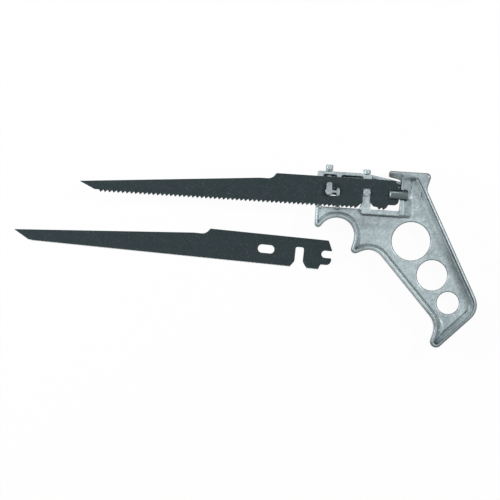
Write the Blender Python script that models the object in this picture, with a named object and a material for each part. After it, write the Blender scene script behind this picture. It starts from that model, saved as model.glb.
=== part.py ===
"""Keyhole saw: a die-cast pistol grip that carries a blade on its side, with a spare blade.

The saw lies on its far side. +X runs along the blade from its point to the grip, +Y to the blade's
back, +Z to the side that carries the blade. Sizes are millimetres until a mesh is made from them.
"""
import math
from collections import namedtuple

import bmesh
import bpy
from mathutils import Matrix, Vector

MM = 0.001

# General fits
CLEARANCE = 0.3            # gap between pieces that touch or slide
FULL_TURN = 360.0
STEP_BACK = 0.1            # keeps faces of joined blocks out of one plane
ARC_STEP = 13.0            # degrees between the points of a rounded corner
ARC_ROOM = 0.98            # share of a side that the arcs at its ends may take
WELD = 0.001               # points nearer than this are one
SHARP_ANGLE = 35.0         # edges that turn more than this stay crisp
ROUND_SIDES = 24           # facets round a pin or stud
HOLE_SIDES = 48            # facets round a hole in the grip

# Blades: both are stamped with one outline and differ only in their teeth
BLADE_LENGTH = 254.0
BLADE_THICKNESS = 1.0
TANG_WIDTH = 24.0
TANG_LENGTH = 98.5         # parallel part, from the shoulder to the tail
SHOULDER_DROP = 4.5        # the back steps down this far in front of the tang
SHOULDER_RUN = 6.5
TIP_RISE = 7.4             # height of the point above the tooth line
TIP_RUN = 11.8             # length of the slanted front edge along the blade
TIP_FLAT = 0.4             # height of the blunted point
BLADE_CORNER = 1.0
TINE_CORNER = 0.6
TINE_BELLY_CORNER = 4.0
SLOT_LENGTH = 13.2
SLOT_FROM_TAIL = 52.6      # slot centre to the tail
SLOT_RISE = 0.3            # slot centre above the tang's middle
NOTCH_FROM_TAIL = 25.8
NOTCH_FLARE = 3.0          # the notch widens this much on each side at the tooth line
NOTCH_FLARE_HEIGHT = 5.0
NOTCH_FLARE_ROUND = 3.0
NOTCH_TOP_ROUND = 1.6
FORK_DEPTH = 8.2
FORK_WIDTH = 5.7
FORK_RISE = 0.8            # fork and latch pin above the tang's middle
TAIL_CHAMFER_RUN = 3.4
TAIL_CHAMFER_DROP = 7.6
TAIL_STEP_RUN = 8.2        # length of the cut-away lower tine
TAIL_STEP_RISE = 4.3
TAIL_STEP_SLOPE = 1.4      # run of the slope up to the cut-away
COARSE_PITCH = 3.5
COARSE_DEPTH = 1.9
FINE_PITCH = 1.06
FINE_DEPTH = 0.7
TOOTH_LEAN = 0.3           # share of a tooth's pitch taken by its steep front face
TIP_TOOTH_GAP = 2.0        # bare stretch behind the slanted front edge

# Spare blade: where its slot centre lies beside the saw, and how far it is turned
SPARE_SLOT_X = -47.0
SPARE_SLOT_Y = -49.4
SPARE_TURN = -2.1

# Hooks and studs that hold a blade on the side seat and on the top seat
NECK_RADIUS = 3.0
LIP_WIDTH = 4.4
LIP_REACH = 7.1            # from the neck's axis to the end of the lip
LIP_THICKNESS = 3.7
LIP_ROUND = 0.6
LIP_END_ROUND = 1.4
STUD_RADIUS = 3.0
STUD_PROUD = 1.5           # how far a stud stands out of the blade
STUD_CHAMFER = 0.6
SHANK_RADIUS = 1.8
TOP_SHANK_LENGTH = 5.0
TOP_STUD_HEIGHT = 4.0
RIVET_RADIUS = 3.0
RIVET_HEIGHT = 1.1
RIVET_SHOULDER = 0.8       # share of the rivet's radius where its dome begins to fall off
RIVET_SHOULDER_HEIGHT = 0.65
RIVET_CROWN = 0.45
TOP_SEAT_SHIFT = -0.7      # the top hook and stud stand this far along X from the side ones

# Casting: depths from the middle plane
GRIP_HALF_DEPTH = 11.0
LEDGE_HALF = 8.0           # ledge inside the back strap
LEDGE_STEP = 0.3
CUT_HALF = 14.0            # cutters for the hollows reach this far
WEB_HALF = 2.0
SEAT_HALF = 5.5            # lands that the blade lies on
BAR_HALF = 5.4
COLUMN_HALF = 8.0
RIB_HALF = 3.2
EDGE_ROUND = 1.9           # rounding of the rim's outer edge
POCKET_CORNER = 4.0        # rounding of the web's upper corners
COLUMN_COVE = 2.6          # slope from the column down to the web
BAR_COVE = 1.4             # slope from the bar down to the web
POST_COVE = 0.5            # slope from the stud post down to the web
COVE_STEPS = 4
ROUND_STEPS = 3

# Head of the casting, measured from the axis of the side hook
HEAD_FRONT = 9.8
RAIL_TOP = 15.9
RAIL_HEIGHT = 2.6
STUD_PAD_TOP = 15.2
STUD_PAD_WIDTH = 8.6
FRONT_POST = 4.8
MIDDLE_POST_START = 5.8
MIDDLE_POST = 3.4
STUD_POST = 7.0
STUD_POST_SPREAD = 1.6     # the stud post widens this much at its foot, towards the nose
STUD_POST_SPREAD_HEIGHT = 6.0
POST_SINK = 1.2            # how far a post runs into the sill
POST_ROUND = 1.2
HEAD_CORNER = 0.5
RAIL_NOSE_ROUND = 1.4
BEAM_BOTTOM = -2.6
SLOT_RIB_HEIGHT = 2.0
HOOK_BOSS_RADIUS = 3.35
TOP_BOSS_DEPTH = 7.0
SILL_GAP = 0.4             # tooth line to the sill of the window
BAR_UNDERSIDE = -15.9
COLUMN_GAP = 1.0           # blade tail to the column
COLUMN_WIDTH = 7.2
COLUMN_LEAN = 3.6          # degrees that the column's grip side leans
COLUMN_LAND = 2.6          # flat part of the column's near face, before it slopes to the web
COLUMN_SLOPE_TOP = 13.4    # the slope ends here, under the cap
COLUMN_RAMP_START = 5.0
COLUMN_RAMP_END = 17.0
COLUMN_SPREAD = 2.4        # the column's relief runs this far past its grip side
RELIEF_OVERRUN = 0.6       # reliefs of the bar and column run this far past its edges

# Scoop in the near and far faces of the beak
SCOOP_TOP = 17.6
SCOOP_FOOT = 9.8
SCOOP_SLOPE = 1.17         # how fast the scoop sinks towards its foot
SCOOP_END = 1.0            # the scoop runs this far past the column's front

# Brace from the stud post down to the column
BRACE_HEIGHT = 2.4
BRACE_DROP = 4.6

# Latch pin in the column, with its ball, spring and screw
PIN_RADIUS = 3.8
PIN_LENGTH = 15.6
PIN_CHAMFER = 0.9
PIN_NOSE_GAP = 0.5         # pin's nose to the bottom of the fork
PIN_TRAVEL = 8.4
CHANNEL_OVERRUN = 2.0      # the pin's channel runs this far past its travel
BALL_RADIUS = 1.5
BALL_SIDES = 16
BALL_RINGS = 10
BALL_LIFT = 0.9            # how far the ball stands in the pin's keyway
SPRING_LENGTH = 4.6
SPRING_TURNS = 4.0
SPRING_WIRE = 0.22         # radius of the wire
SPRING_POINTS = 10         # points in a turn
SCREW_RADIUS = 2.5
SCREW_SLOT_WIDTH = 0.9
SCREW_SLOT_DEPTH = 1.0
SCREW_RECESS = 0.4

# Holes through the grip: centre and radius
HoleSize = namedtuple("HoleSize", "x y radius")
GRIP_HOLES = (
    HoleSize(67.8, -35.6, 15.3),
    HoleSize(86.2, -61.6, 12.1),
    HoleSize(100.2, -82.8, 8.8),
)
HOLE_CHAMFER = 0.8

# Main sizes of the casting's outline, from the axis of the side hook
CAP_TOP = 19.3
CAP_BACK = 78.9            # middle of the flare behind the cap
FLARE_MIDDLE = 10.5
BEAK_TIP = 46.9
BEAK_FOOT = 14.4
NOSE_FOOT = -27.7
NOSE_BACK = -4.6           # where the nose's foot turns up into the finger bay
BAY_MIDDLE = 8.0           # hollow for the forefinger
BAY_TOP = -20.6
HORN_FRONT = 22.9
HORN_MIDDLE = -34.0
HORN_FOOT = -47.3
HORN_BACK = 26.2           # where the horn's foot turns into the groove behind it
STRAP_TOP_X = 46.1         # where the front strap leaves the groove under the horn
STRAP_TOP_Y = -50.3
FRONT_STRAP_LENGTH = 67.7
FRONT_STRAP_HEADING = -47.4
TOE_LENGTH = 31.5
TOE_HEADING = -106.3
BACK_STRAP_X = 79.4        # the back strap at the height of the latch
BACK_STRAP_Y = 2.8

# Outline of the casting, anticlockwise. Each edge is a straight line through a point, with the
# heading it runs in, the width of the rim along it, a narrow ledge inside the rim, the width of the
# slope from there to the web, how hollow that slope is (0 straight, 1 round), and the radius of the
# corner where the edge meets the next one.
Edge = namedtuple("Edge", "x y heading rim ledge cove hollow corner")
SILL = -(TANG_WIDTH / 2 + SILL_GAP)
COLUMN_FRONT = SLOT_LENGTH / 2 - NECK_RADIUS - CLEARANCE + SLOT_FROM_TAIL + COLUMN_GAP
STRAP_FOOT_X = STRAP_TOP_X + FRONT_STRAP_LENGTH * math.cos(math.radians(FRONT_STRAP_HEADING))
STRAP_FOOT_Y = STRAP_TOP_Y + FRONT_STRAP_LENGTH * math.sin(math.radians(FRONT_STRAP_HEADING))
TOE_FOOT_X = STRAP_FOOT_X + TOE_LENGTH * math.cos(math.radians(TOE_HEADING))
TOE_FOOT_Y = STRAP_FOOT_Y + TOE_LENGTH * math.sin(math.radians(TOE_HEADING))
NOSE_FRONT_EDGE = Edge(-HEAD_FRONT, NOSE_FOOT, -90.0, 2.2, 0.0, 1.2, 0.6, 2.8)
NOSE_BAY_EDGE = Edge(NOSE_BACK, NOSE_FOOT, 57.4, 2.9, 0.0, 1.2, 0.6, 15.0)
BAY_EDGE = Edge(BAY_MIDDLE, BAY_TOP, 0.0, 2.9, 0.0, 1.8, 0.6, 14.2)
HORN_EDGE = Edge(HORN_FRONT, HORN_MIDDLE, -103.3, 2.9, 0.0, 3.0, 0.8, 3.3)
GROOVE_EDGE = Edge(HORN_BACK, HORN_FOOT, 25.8, 2.8, 0.0, 1.8, 0.5, 13.5)
FRONT_STRAP_EDGE = Edge(STRAP_TOP_X, STRAP_TOP_Y, FRONT_STRAP_HEADING, 3.2, 0.0, 2.0, 0.3, 15.0)
TOE_EDGE = Edge(STRAP_FOOT_X, STRAP_FOOT_Y, TOE_HEADING, 3.0, 0.0, 5.4, 0.7, 4.6)
BUTT_EDGE = Edge(TOE_FOOT_X, TOE_FOOT_Y, 45.3, 2.4, 0.0, 4.6, 0.0, 14.5)
BACK_STRAP_EDGE = Edge(BACK_STRAP_X, BACK_STRAP_Y, 117.9, 2.4, 2.0, 3.6, 1.0, 8.0)
FLARE_EDGE = Edge(CAP_BACK, FLARE_MIDDLE, 74.6, 2.4, 0.0, 0.0, 1.0, 3.4)
CAP_EDGE = Edge(COLUMN_FRONT, CAP_TOP, 180.0, 4.6, 0.0, 1.7, 1.0, 1.8)
BEAK_TIP_EDGE = Edge(BEAK_TIP, CAP_TOP, -90.0, 2.4, 0.0, 0.0, 1.0, 1.2)
BEAK_EDGE = Edge(BEAK_TIP, BEAK_FOOT, -10.8, 2.4, 0.0, 0.0, 1.0, 3.0)
COLUMN_EDGE = Edge(COLUMN_FRONT, 0.0, -90.0, 2.4, 0.0, 0.0, 1.0, 2.0)
SILL_EDGE = Edge(STUD_POST, SILL, 180.0, 2.4, 0.0, 0.0, 1.0, 0.8)
GRIP_EDGES = (
    NOSE_FRONT_EDGE, NOSE_BAY_EDGE, BAY_EDGE, HORN_EDGE, GROOVE_EDGE, FRONT_STRAP_EDGE, TOE_EDGE,
    BUTT_EDGE, BACK_STRAP_EDGE, FLARE_EDGE, CAP_EDGE, BEAK_TIP_EDGE, BEAK_EDGE, COLUMN_EDGE, SILL_EDGE,
)

# Places that follow from the sizes above, from the axis of the side hook
BLADE_BACK_FACE = SEAT_HALF + CLEARANCE
SLOT_WIDTH = 2 * (NECK_RADIUS + CLEARANCE)
NOTCH_WIDTH = 2 * (STUD_RADIUS + CLEARANCE)
SLOT_X = SLOT_LENGTH / 2 - NECK_RADIUS - CLEARANCE
TAIL_X = SLOT_X + SLOT_FROM_TAIL
STUD_X = TAIL_X - NOTCH_FROM_TAIL
STUD_Y = FORK_RISE
BLADE_Y = -SLOT_RISE
LATCH_Y = BLADE_Y + FORK_RISE
LATCH_Z = BLADE_BACK_FACE + BLADE_THICKNESS / 2
PIN_NOSE_X = TAIL_X - FORK_DEPTH + PIN_NOSE_GAP
BALL_X = COLUMN_FRONT + COLUMN_WIDTH / 2
BALL_BORE = BALL_RADIUS + CLEARANCE
BALL_Z = LATCH_Z - PIN_RADIUS + BALL_LIFT - BALL_RADIUS
SPRING_TOP = BALL_Z - BALL_RADIUS - CLEARANCE
SCREW_TOP = SPRING_TOP - SPRING_LENGTH - CLEARANCE


def scene_collection(name):
    """A new collection under the scene."""
    collection = bpy.data.collections.new(name)
    bpy.context.scene.collection.children.link(collection)
    return collection


def clear_scene():
    """Remove whatever the file holds."""
    for item in list(bpy.data.objects):
        bpy.data.objects.remove(item, do_unlink=True)


clear_scene()
PARTS = scene_collection("keyhole_saw")
CUTTERS = scene_collection("cutters")


def material(name, colour, roughness, metallic):
    """A Principled material of one colour."""
    made = bpy.data.materials.new(name)
    made.use_nodes = True
    shader = made.node_tree.nodes["Principled BSDF"]
    shader.inputs["Base Color"].default_value = (*colour, 1.0)
    shader.inputs["Roughness"].default_value = roughness
    shader.inputs["Metallic"].default_value = metallic
    return made


def add_part(name, mesh, finish):
    """An object of the saw with its material."""
    part = bpy.data.objects.new(name, mesh)
    mesh.materials.clear()
    mesh.materials.append(finish)
    PARTS.objects.link(part)
    return part


def add_cutter(name, mesh):
    """A hidden object that a Boolean reads."""
    cutter = bpy.data.objects.new(name, mesh)
    cutter.hide_render = True
    cutter.display_type = "WIRE"
    CUTTERS.objects.link(cutter)
    return cutter


def boolean(part, operand, operation):
    """Add a Boolean modifier that reads the operand."""
    modifier = part.modifiers.new(operand.name, "BOOLEAN")
    modifier.operation = operation
    modifier.object = operand


def mesh_from(name, build):
    """A mesh in metres from a bmesh that is filled in millimetres."""
    shape = bmesh.new()
    build(shape)
    bmesh.ops.recalc_face_normals(shape, faces=shape.faces)
    bmesh.ops.scale(shape, vec=(MM, MM, MM), verts=shape.verts)
    mesh = bpy.data.meshes.new(name)
    shape.to_mesh(mesh)
    shape.free()
    return mesh


def rounded(corners):
    """Points of a closed outline whose corners (x, y, radius) are turned into arcs."""
    count = len(corners)
    places = [Vector(corner[:2]) for corner in corners]
    along = [(places[(i + 1) % count] - places[i]) for i in range(count)]
    turns = [along[i - 1].angle_signed(along[i], 0.0) for i in range(count)]
    half_tangents = [math.tan(abs(turn) / 2) for turn in turns]
    reach = [corners[i][2] * half_tangents[i] for i in range(count)]
    room = [1.0] * count
    for i in range(count):
        wanted = reach[i] + reach[(i + 1) % count]
        share = min(1.0, ARC_ROOM * along[i].length / wanted) if wanted > 0 else 1.0
        room[i] = min(room[i], share)
        room[(i + 1) % count] = min(room[(i + 1) % count], share)
    points = []
    for i in range(count):
        if reach[i] == 0:
            points.append(places[i])
            continue
        tangent = reach[i] * room[i]
        radius = tangent / half_tangents[i]
        start = places[i] - along[i - 1].normalized() * tangent
        side = 1.0 if turns[i] < 0 else -1.0
        normal = Vector((-along[i - 1].y, along[i - 1].x)).normalized() * side
        centre = start + normal * radius
        steps = max(2, math.ceil(abs(math.degrees(turns[i])) / ARC_STEP))
        for step in range(steps + 1):
            spun = Matrix.Rotation(-turns[i] * step / steps, 2) @ (start - centre)
            points.append(centre + spun)
    return points


def crossing(first, second):
    """Where the lines of two edges meet."""
    heading = math.radians(first.heading)
    other = math.radians(second.heading)
    run = Vector((math.cos(heading), math.sin(heading)))
    other_run = Vector((math.cos(other), math.sin(other)))
    between = Vector((second.x - first.x, second.y - first.y))
    distance = between.cross(other_run) / run.cross(other_run)
    return Vector((first.x, first.y)) + run * distance


def inset_edges(edges, insets):
    """The edges, each moved to its left by its inset."""
    moved = []
    for edge, inset in zip(edges, insets):
        heading = math.radians(edge.heading)
        across = Vector((-math.sin(heading), math.cos(heading))) * inset
        moved.append(edge._replace(x=edge.x + across.x, y=edge.y + across.y))
    return moved


def edge_lengths(edges):
    """Length of each edge between its crossings with the edges before and after it."""
    count = len(edges)
    ends = [crossing(edges[i], edges[(i + 1) % count]) for i in range(count)]
    headings = [math.radians(edge.heading) for edge in edges]
    runs = [Vector((math.cos(heading), math.sin(heading))) for heading in headings]
    return [(ends[i] - ends[i - 1]).dot(runs[i]) for i in range(count)]


def cove_share(edges):
    """Share of the hollow curves' width that every edge of the floor has room for."""
    at_rim = edge_lengths(inset_edges(edges, [edge.rim for edge in edges]))
    at_floor = edge_lengths(inset_edges(edges, [edge.rim + edge.ledge + edge.cove for edge in edges]))
    shares = [(rim - CLEARANCE) / (rim - floor) for rim, floor in zip(at_rim, at_floor) if floor < CLEARANCE]
    return min(shares, default=1.0)


def edge_outline(edges, insets):
    """Outline of a chain of edges, each moved in by its inset, with the corner arcs kept concentric."""
    moved = inset_edges(edges, insets)
    corners = []
    for i, edge in enumerate(moved):
        following = moved[(i + 1) % len(moved)]
        place = crossing(edge, following)
        turn = (following.heading - edge.heading + 180.0) % FULL_TURN - 180.0
        inset = (insets[i] + insets[(i + 1) % len(insets)]) / 2
        radius = edge.corner - inset if turn > 0 else edge.corner + inset
        corners.append((place.x, place.y, max(radius, CLEARANCE)))
    return rounded(corners)


def loft(name, rings):
    """A closed body through rings (points, z) that all have as many points."""
    def build(shape):
        loops = [[shape.verts.new((p.x, p.y, z)) for p in points] for points, z in rings]
        for lower, upper in zip(loops, loops[1:]):
            for i in range(len(lower)):
                following = (i + 1) % len(lower)
                shape.faces.new((lower[i], lower[following], upper[following], upper[i]))
        shape.faces.new(loops[0])
        shape.faces.new(loops[-1])
    return mesh_from(name, build)


def prism(name, outline, bottom, top):
    """A body of one outline between two heights."""
    return loft(name, [(outline, bottom), (outline, top)])


def plate(name, outline, bottom, top, holes):
    """A flat plate with an outline and holes, between two heights."""
    curve = bpy.data.curves.new(name, "CURVE")
    curve.dimensions = "2D"
    curve.fill_mode = "BOTH"
    curve.extrude = (top - bottom) / 2 * MM
    for loop in (outline, *holes):
        spline = curve.splines.new("POLY")
        spline.points.add(len(loop) - 1)
        spline.use_cyclic_u = True
        for point, place in zip(spline.points, loop):
            point.co = (place.x * MM, place.y * MM, 0.0, 1.0)
    drawn = bpy.data.objects.new(name, curve)
    CUTTERS.objects.link(drawn)
    evaluated = drawn.evaluated_get(bpy.context.evaluated_depsgraph_get())
    mesh = bpy.data.meshes.new_from_object(evaluated)
    bpy.data.objects.remove(drawn, do_unlink=True)
    shape = bmesh.new()
    shape.from_mesh(mesh)
    bmesh.ops.remove_doubles(shape, verts=shape.verts, dist=WELD * MM)
    bmesh.ops.translate(shape, vec=(0.0, 0.0, (top + bottom) / 2 * MM), verts=shape.verts)
    bmesh.ops.recalc_face_normals(shape, faces=shape.faces)
    shape.to_mesh(mesh)
    shape.free()
    return mesh


def box(name, low, high):
    """A block between two corners."""
    def build(shape):
        size = Vector(high) - Vector(low)
        place = Matrix.Translation((Vector(low) + Vector(high)) / 2)
        bmesh.ops.create_cube(shape, size=1.0, matrix=place @ Matrix.Diagonal((*size, 1.0)))
    return mesh_from(name, build)


def cylinder(name, centre, radius, low, high, sides=ROUND_SIDES, axis="Z"):
    """A round bar along one axis, between two places on it."""
    turn = {"X": Matrix.Rotation(math.pi / 2, 4, "Y"), "Y": Matrix.Rotation(-math.pi / 2, 4, "X"),
            "Z": Matrix.Identity(4)}[axis]
    middle = Vector(centre)
    middle["XYZ".index(axis)] = (low + high) / 2

    def build(shape):
        bmesh.ops.create_cone(
            shape, cap_ends=True, segments=sides, radius1=radius, radius2=radius,
            depth=high - low, matrix=Matrix.Translation(middle) @ turn)
    return mesh_from(name, build)


def turned(name, profile, sides=ROUND_SIDES):
    """A mesh turned about Z from a profile of (radius, height), listed from the top down."""
    def build(shape):
        line = [shape.verts.new((radius, 0.0, height)) for radius, height in profile]
        edges = [shape.edges.new(pair) for pair in zip(line, line[1:])]
        bmesh.ops.spin(
            shape, geom=line + edges, axis=(0, 0, 1), cent=(0, 0, 0), steps=sides, angle=math.tau,
            use_merge=True)
        bmesh.ops.remove_doubles(shape, verts=shape.verts, dist=WELD)
    return mesh_from(name, build)


def stadium(centre, length, width):
    """Outline of a slot with round ends, along X."""
    half_length = length / 2
    half_width = width / 2
    return [point + Vector(centre) for point in rounded([
        (-half_length, -half_width, half_width), (half_length, -half_width, half_width),
        (half_length, half_width, half_width), (-half_length, half_width, half_width)])]


def smooth(part):
    """Shade round faces smooth and keep the edges crisp."""
    part.data.shade_smooth()
    part.data.set_sharp_from_angle(angle=math.radians(SHARP_ANGLE))


def teeth(start, end, line, pitch, depth):
    """Points of a row of saw teeth that runs back from end to start along the tooth line."""
    count = int((end - start) / pitch)
    points = []
    for index in range(count):
        tail = end - index * pitch
        points.append(Vector((tail, line + depth)))
        points.append(Vector((tail - pitch * (1 - TOOTH_LEAN), line)))
    points.append(Vector((end - count * pitch, line + depth)))
    return points


def blade_mesh(name, pitch, depth, low):
    """A blade with its tail at x = 0, its tang's middle on y = 0 and its back face at z = low."""
    half = TANG_WIDTH / 2
    tip = -BLADE_LENGTH
    notch = -NOTCH_FROM_TAIL
    notch_half = NOTCH_WIDTH / 2
    notch_top = STUD_Y + SLOT_RISE + STUD_RADIUS + CLEARANCE
    flare_left = notch - notch_half - NOTCH_FLARE
    flare_right = notch + notch_half + NOTCH_FLARE
    shelf_end = -TAIL_STEP_RUN - TAIL_STEP_SLOPE
    shoulder = -TANG_LENGTH
    back = half - SHOULDER_DROP
    flare_top = NOTCH_FLARE_HEIGHT - half
    tail_back = [
        (shoulder - SHOULDER_RUN * 2, back, SHOULDER_RUN), (shoulder - SHOULDER_RUN / 2, back, SHOULDER_RUN),
        (shoulder, half, BLADE_CORNER), (-TAIL_CHAMFER_RUN, half, BLADE_CORNER),
        (0.0, half - TAIL_CHAMFER_DROP, TINE_CORNER)]
    fork_half = FORK_WIDTH / 2
    fork = [
        (0.0, FORK_RISE + fork_half, TINE_CORNER), (-FORK_DEPTH, FORK_RISE + fork_half, fork_half),
        (-FORK_DEPTH, FORK_RISE - fork_half, fork_half), (0.0, FORK_RISE - fork_half, TINE_CORNER)]
    tail_belly = [
        (0.0, TAIL_STEP_RISE - half, TINE_BELLY_CORNER),
        (-TAIL_STEP_RUN, TAIL_STEP_RISE - half, BLADE_CORNER), (shelf_end, depth - half, 0.0)]
    notch_corners = [
        (flare_right, depth - half, NOTCH_FLARE_ROUND), (notch + notch_half, flare_top, NOTCH_FLARE_ROUND),
        (notch + notch_half, notch_top, NOTCH_TOP_ROUND), (notch - notch_half, notch_top, NOTCH_TOP_ROUND),
        (notch - notch_half, flare_top, NOTCH_FLARE_ROUND), (flare_left, depth - half, NOTCH_FLARE_ROUND)]
    point = TIP_RISE - half
    front = [(tip + TIP_RUN, depth - half, 0.0), (tip, point, TIP_FLAT), (tip, point + TIP_FLAT, TIP_FLAT)]
    corners = rounded(list(reversed(tail_back + fork + tail_belly + notch_corners + front)))
    first_tooth = tip + TIP_RUN + TIP_TOOTH_GAP
    row = teeth(first_tooth, flare_left, -half, pitch, depth)
    shelf_row = teeth(flare_right, shelf_end, -half, pitch, depth)
    front_end = next(i for i, p in enumerate(corners) if p.x > first_tooth)
    notch_start = next(i for i, p in enumerate(corners) if p.x > flare_left)
    shelf = [i for i, p in enumerate(corners) if p.y < depth - half + CLEARANCE and p.x > flare_right]
    outline = corners[:front_end] + row[::-1] + corners[notch_start:shelf[0]] + shelf_row[::-1]
    outline += corners[shelf[-1] + 1:]
    slot = stadium((-SLOT_FROM_TAIL, SLOT_RISE), SLOT_LENGTH, SLOT_WIDTH)
    return plate(name, outline, low, low + BLADE_THICKNESS, [slot])


def pocket_edges():
    """Inner edges of the rim: the grip's web lies inside them, and the bar and column outside."""
    column_side = COLUMN_FRONT + COLUMN_WIDTH
    return (
        NOSE_FRONT_EDGE, NOSE_BAY_EDGE, BAY_EDGE, HORN_EDGE, GROOVE_EDGE, FRONT_STRAP_EDGE, TOE_EDGE,
        BUTT_EDGE, BACK_STRAP_EDGE._replace(corner=POCKET_CORNER), CAP_EDGE._replace(corner=POCKET_CORNER),
        Edge(column_side, 0.0, COLUMN_LEAN - 90.0, 0.0, 0.0, COLUMN_COVE, 1.0, POST_ROUND),
        Edge(STUD_X, BAR_UNDERSIDE, 180.0, 0.0, 0.0, BAR_COVE, 0.4, POST_COVE),
        Edge(STUD_X - STUD_POST / 2, 0.0, 90.0, 0.0, 0.0, POST_COVE, 1.0, POST_COVE),
        Edge(0.0, SILL + GRIP_HALF_DEPTH, 180.0, 0.0, 0.0, 0.0, 1.0, POST_COVE),
    )


def pocket(name, side):
    """Cutter for the hollow on one side of the web, with a hollow curve from the floor to the rim."""
    edges = pocket_edges()
    rims = [edge.rim for edge in edges]
    share = cove_share(edges)
    rings = []
    for step in range(COVE_STEPS + 1):
        angle = math.pi / 2 * step / COVE_STEPS
        round_share = 1 - math.sin(angle)
        straight_share = math.cos(angle)
        insets = []
        for edge in edges:
            slope = straight_share + (round_share - straight_share) * edge.hollow
            insets.append(edge.rim + (edge.ledge + edge.cove * slope) * share)
        height = WEB_HALF + (LEDGE_HALF - WEB_HALF) * (1 - math.cos(angle))
        rings.append((edge_outline(edges, insets), side * height))
    rings.append((edge_outline(edges, rims), side * (LEDGE_HALF + LEDGE_STEP)))
    rings.append((edge_outline(edges, rims), side * CUT_HALF))
    return add_cutter(name, loft(name, rings))


def grip_mesh():
    """The casting's outline at full depth with rounded outer edges."""
    rings = []
    for side in (-1, 1):
        ends = []
        for step in range(ROUND_STEPS + 1):
            angle = math.pi / 2 * step / ROUND_STEPS
            inset = EDGE_ROUND * (1 - math.sin(angle))
            height = GRIP_HALF_DEPTH - EDGE_ROUND * (1 - math.cos(angle))
            ends.append((edge_outline(GRIP_EDGES, [inset] * len(GRIP_EDGES)), side * height))
        rings += ends if side < 0 else reversed(ends)
    return loft("handle_casting", rings)


def head_comb():
    """Rail with three posts, whose near faces are the lands under the blade."""
    foot = SILL - POST_SINK
    rail_bottom = RAIL_TOP - RAIL_HEIGHT
    front_end = FRONT_POST - HEAD_FRONT
    middle_end = MIDDLE_POST_START + MIDDLE_POST
    stud_start = STUD_X - STUD_POST / 2
    stud_end = STUD_X + STUD_POST / 2
    pad_start = STUD_X + TOP_SEAT_SHIFT - STUD_PAD_WIDTH / 2
    outline = rounded([
        (-HEAD_FRONT, foot, HEAD_CORNER), (front_end, foot, HEAD_CORNER),
        (front_end, rail_bottom, POST_ROUND), (MIDDLE_POST_START, rail_bottom, POST_ROUND),
        (MIDDLE_POST_START, foot, HEAD_CORNER),
        (middle_end, foot, HEAD_CORNER), (middle_end, rail_bottom, POST_ROUND),
        (stud_start, rail_bottom, POST_ROUND),
        (stud_start, SILL + STUD_POST_SPREAD_HEIGHT, STUD_POST_SPREAD_HEIGHT),
        (stud_start - STUD_POST_SPREAD, SILL, STUD_POST_SPREAD),
        (stud_start - STUD_POST_SPREAD, foot, HEAD_CORNER), (stud_end, foot, HEAD_CORNER),
        (stud_end, STUD_PAD_TOP, HEAD_CORNER), (pad_start, STUD_PAD_TOP, CLEARANCE),
        (pad_start, RAIL_TOP, CLEARANCE), (-HEAD_FRONT, RAIL_TOP, RAIL_NOSE_ROUND)])
    return prism("head_comb", outline, -SEAT_HALF, SEAT_HALF)


def head_web():
    """Thin wall on the middle plane that joins the rail, the posts and the column."""
    stud_end = STUD_X + STUD_POST / 2
    far_end = COLUMN_FRONT + COLUMN_WIDTH / 2
    top = STUD_PAD_TOP - RAIL_HEIGHT / 2
    front = FRONT_POST / 2 - HEAD_FRONT
    outline = [Vector(p) for p in (
        (front, BEAM_BOTTOM), (far_end, BEAM_BOTTOM), (far_end, top - BRACE_DROP),
        (stud_end, top), (front, top))]
    return prism("head_web", outline, -WEB_HALF, WEB_HALF)


def head_brace():
    """Sloping rib along the top of the web between the stud post and the column."""
    start = STUD_X
    end = COLUMN_FRONT + COLUMN_WIDTH / 3
    top = STUD_PAD_TOP - STEP_BACK
    outline = [Vector(p) for p in (
        (start, top - BRACE_HEIGHT), (end, top - BRACE_HEIGHT - BRACE_DROP), (end, top - BRACE_DROP),
        (start + STUD_POST / 2, top), (start, top))]
    return prism("head_brace", outline, -RIB_HALF, RIB_HALF)


def across(mesh, side):
    """Turn a prism drawn in (y, depth) so that it runs along X, on the near or the far side."""
    mesh.transform(Matrix(((0, 0, 1, 0), (1, 0, 0, 0), (0, side, 0, 0), (0, 0, 0, 1))))
    if side < 0:
        mesh.flip_normals()
    return mesh


def column_slope():
    """Cutter that slopes the column's near face down to the web, leaning with its grip side."""
    start = COLUMN_LAND - COLUMN_WIDTH
    outline = [Vector(p) for p in (
        (start, COLUMN_HALF), (start, CUT_HALF), (COLUMN_COVE, CUT_HALF), (COLUMN_COVE, WEB_HALF))]
    mesh = prism("column_slope", outline, BAR_UNDERSIDE - COLUMN_COVE, COLUMN_SLOPE_TOP)
    mesh.transform(Matrix(((1, 0, 0, 0), (0, 0, 1, 0), (0, 1, 0, 0), (0, 0, 0, 1))))
    mesh.flip_normals()
    side = Matrix.Translation(Vector((COLUMN_FRONT + COLUMN_WIDTH, 0, 0)) * MM)
    mesh.transform(side @ Matrix.Rotation(math.radians(COLUMN_LEAN), 4, "Z"))
    return add_cutter("column_slope", mesh)


def column_relief(name, side):
    """Cutter that brings the column down from the rim's depth, with a ramp up to the cap."""
    low = BAR_UNDERSIDE - RELIEF_OVERRUN
    outline = [Vector(p) for p in (
        (low, COLUMN_HALF), (COLUMN_RAMP_START, COLUMN_HALF), (COLUMN_RAMP_END, GRIP_HALF_DEPTH + CLEARANCE),
        (COLUMN_RAMP_END, CUT_HALF), (low, CUT_HALF))]
    start = COLUMN_FRONT - RELIEF_OVERRUN
    end = COLUMN_FRONT + COLUMN_WIDTH + COLUMN_SPREAD
    return add_cutter(name, across(prism(name, outline, start, end), side))


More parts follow.
